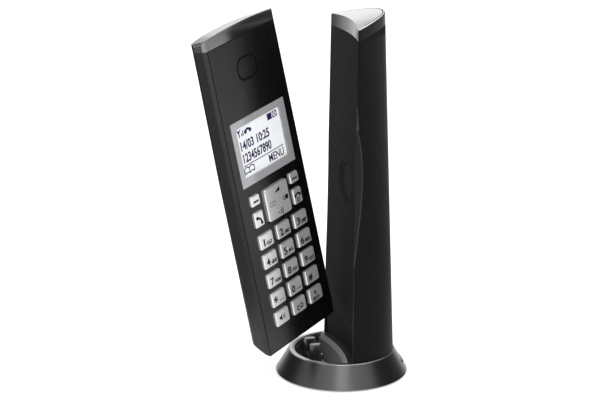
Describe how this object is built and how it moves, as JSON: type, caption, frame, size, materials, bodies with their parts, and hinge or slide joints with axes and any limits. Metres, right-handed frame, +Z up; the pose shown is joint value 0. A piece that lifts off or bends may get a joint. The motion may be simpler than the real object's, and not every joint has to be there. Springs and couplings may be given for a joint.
{
  "type": "cordless phone with base",
  "caption": "Cordless phone: a slim keypad handset with a display, lifted off a tower base that has a round flared foot, a charging cradle and a page button.",
  "frame": {"origin": "centre of the round base on the table", "axes": "+Z up, the cradle and the hollow face of the tower look towards -Y, +X to the right of the tower"},
  "size_m": [0.06, 0.1029, 0.1691],
  "materials": {
    "black_plastic": "fine matte black",
    "panel_black": "satin black",
    "base_silver": "dark silver paint",
    "cradle_grey": "dark silver paint",
    "silver_trim": "silver paint",
    "key_silver": "silver satin",
    "foot_rubber": "matte",
    "contact_metal": "plated spring metal",
    "steel": "plated steel",
    "circuit_board": "solder mask",
    "clear_window": "clear",
    "display_white": "backlit white",
    "cell_can": "wrapped cell"
  },
  "bodies": {
    "base": {"base_ring": "base_silver", "bottom_plate": "black_plastic", "rubber_foot": "foot_rubber", "cradle_tray": "cradle_grey", "charge_post": "cradle_grey", "charge_contacts": "contact_metal", "tower_rear_shell": "black_plastic", "tower_front_panel": "black_plastic", "tower_cap": "silver_trim", "page_switch": "black_plastic", "base_circuit_board": "circuit_board", "board_screws": "steel", "base_rf_shield": "steel", "base_antenna": "contact_metal", "line_jack": "black_plastic", "power_jack": "black_plastic", "jack_board": "circuit_board", "base_screws": "steel"},
    "page_button": {"page_button": "black_plastic"},
    "handset": {"handset_rear_housing": "black_plastic", "handset_front_panel": "panel_black", "handset_cap": "silver_trim", "display_frame": "silver_trim", "display_window": "clear_window", "lcd_panel": "display_white", "display_backlight": "display_white", "earpiece_cover": "panel_black", "earpiece_speaker": "black_plastic", "microphone": "steel", "keypad_mat": "foot_rubber", "handset_circuit_board": "circuit_board", "handset_rf_shield": "steel", "ringer_speaker": "black_plastic", "battery_cells": "cell_can", "battery_contacts": "contact_metal", "handset_charge_contacts": "contact_metal", "handset_screws": "steel"},
    "battery_cover": {"battery_cover": "black_plastic"},
    "navigation_key": {"navigation_key": "key_silver"},
    "key_speaker": {"key_speaker": "key_silver"},
    "key_redial": {"key_redial": "key_silver"},
    "key_intercom": {"key_intercom": "key_silver"},
    "key_star": {"key_star": "key_silver"},
    "key_0": {"key_0": "key_silver"},
    "key_hash": {"key_hash": "key_silver"},
    "key_7": {"key_7": "key_silver"},
    "key_8": {"key_8": "key_silver"},
    "key_9": {"key_9": "key_silver"},
    "key_4": {"key_4": "key_silver"},
    "key_5": {"key_5": "key_silver"},
    "key_6": {"key_6": "key_silver"},
    "key_1": {"key_1": "key_silver"},
    "key_2": {"key_2": "key_silver"},
    "key_3": {"key_3": "key_silver"},
    "soft_key_left": {"soft_key_left": "key_silver"},
    "soft_key_right": {"soft_key_right": "key_silver"},
    "talk_key": {"talk_key": "key_silver"},
    "off_key": {"off_key": "key_silver"}
  },
  "joints": [
    {"name": "handset_lift", "type": "slide", "parent": "base", "child": "handset", "axis": [0, -0.1977, 0.9803], "range_m": [0, 0.06]},
    {"name": "page_press", "type": "slide", "parent": "base", "child": "page_button", "axis": [0, 1, 0], "range_m": [0, 0.0008], "stiffness_N_per_m": 600},
    {"name": "battery_cover_slide", "type": "slide", "parent": "handset", "child": "battery_cover", "axis": [0, 0.1977, -0.9803], "range_m": [0, 0.01]},
    {"name": "navigation_rock", "type": "hinge", "parent": "handset", "child": "navigation_key", "pos_m": [0.00991, -0.03591, 0.08612], "axis": [-0.6115, 0.7756, 0.1564], "range_deg": [-3, 3], "stiffness_Nm_per_rad": 0.03},
    {"name": "key_speaker_press", "type": "slide", "parent": "handset", "child": "key_speaker", "axis": [-0.7912, -0.5995, -0.1209], "range_m": [0, 0.0007], "stiffness_N_per_m": 400},
    {"name": "key_redial_press", "type": "slide", "parent": "handset", "child": "key_redial", "axis": [-0.7912, -0.5995, -0.1209], "range_m": [0, 0.0007], "stiffness_N_per_m": 400},
    {"name": "key_intercom_press", "type": "slide", "parent": "handset", "child": "key_intercom", "axis": [-0.7912, -0.5995, -0.1209], "range_m": [0, 0.0007], "stiffness_N_per_m": 400},
    {"name": "key_star_press", "type": "slide", "parent": "handset", "child": "key_star", "axis": [-0.7912, -0.5995, -0.1209], "range_m": [0, 0.0007], "stiffness_N_per_m": 400},
    {"name": "key_0_press", "type": "slide", "parent": "handset", "child": "key_0", "axis": [-0.7912, -0.5995, -0.1209], "range_m": [0, 0.0007], "stiffness_N_per_m": 400},
    {"name": "key_hash_press", "type": "slide", "parent": "handset", "child": "key_hash", "axis": [-0.7912, -0.5995, -0.1209], "range_m": [0, 0.0007], "stiffness_N_per_m": 400},
    {"name": "key_7_press", "type": "slide", "parent": "handset", "child": "key_7", "axis": [-0.7912, -0.5995, -0.1209], "range_m": [0, 0.0007], "stiffness_N_per_m": 400},
    {"name": "key_8_press", "type": "slide", "parent": "handset", "child": "key_8", "axis": [-0.7912, -0.5995, -0.1209], "range_m": [0, 0.0007], "stiffness_N_per_m": 400},
    {"name": "key_9_press", "type": "slide", "parent": "handset", "child": "key_9", "axis": [-0.7912, -0.5995, -0.1209], "range_m": [0, 0.0007], "stiffness_N_per_m": 400},
    {"name": "key_4_press", "type": "slide", "parent": "handset", "child": "key_4", "axis": [-0.7912, -0.5995, -0.1209], "range_m": [0, 0.0007], "stiffness_N_per_m": 400},
    {"name": "key_5_press", "type": "slide", "parent": "handset", "child": "key_5", "axis": [-0.7912, -0.5995, -0.1209], "range_m": [0, 0.0007], "stiffness_N_per_m": 400},
    {"name": "key_6_press", "type": "slide", "parent": "handset", "child": "key_6", "axis": [-0.7912, -0.5995, -0.1209], "range_m": [0, 0.0007], "stiffness_N_per_m": 400},
    {"name": "key_1_press", "type": "slide", "parent": "handset", "child": "key_1", "axis": [-0.7912, -0.5995, -0.1209], "range_m": [0, 0.0007], "stiffness_N_per_m": 400},
    {"name": "key_2_press", "type": "slide", "parent": "handset", "child": "key_2", "axis": [-0.7912, -0.5995, -0.1209], "range_m": [0, 0.0007], "stiffness_N_per_m": 400},
    {"name": "key_3_press", "type": "slide", "parent": "handset", "child": "key_3", "axis": [-0.7912, -0.5995, -0.1209], "range_m": [0, 0.0007], "stiffness_N_per_m": 400},
    {"name": "soft_key_left_press", "type": "slide", "parent": "handset", "child": "soft_key_left", "axis": [-0.7912, -0.5995, -0.1209], "range_m": [0, 0.0007], "stiffness_N_per_m": 400},
    {"name": "soft_key_right_press", "type": "slide", "parent": "handset", "child": "soft_key_right", "axis": [-0.7912, -0.5995, -0.1209], "range_m": [0, 0.0007], "stiffness_N_per_m": 400},
    {"name": "talk_key_press", "type": "slide", "parent": "handset", "child": "talk_key", "axis": [-0.7912, -0.5995, -0.1209], "range_m": [0, 0.0007], "stiffness_N_per_m": 400},
    {"name": "off_key_press", "type": "slide", "parent": "handset", "child": "off_key", "axis": [-0.7912, -0.5995, -0.1209], "range_m": [0, 0.0007], "stiffness_N_per_m": 400}
  ]
}
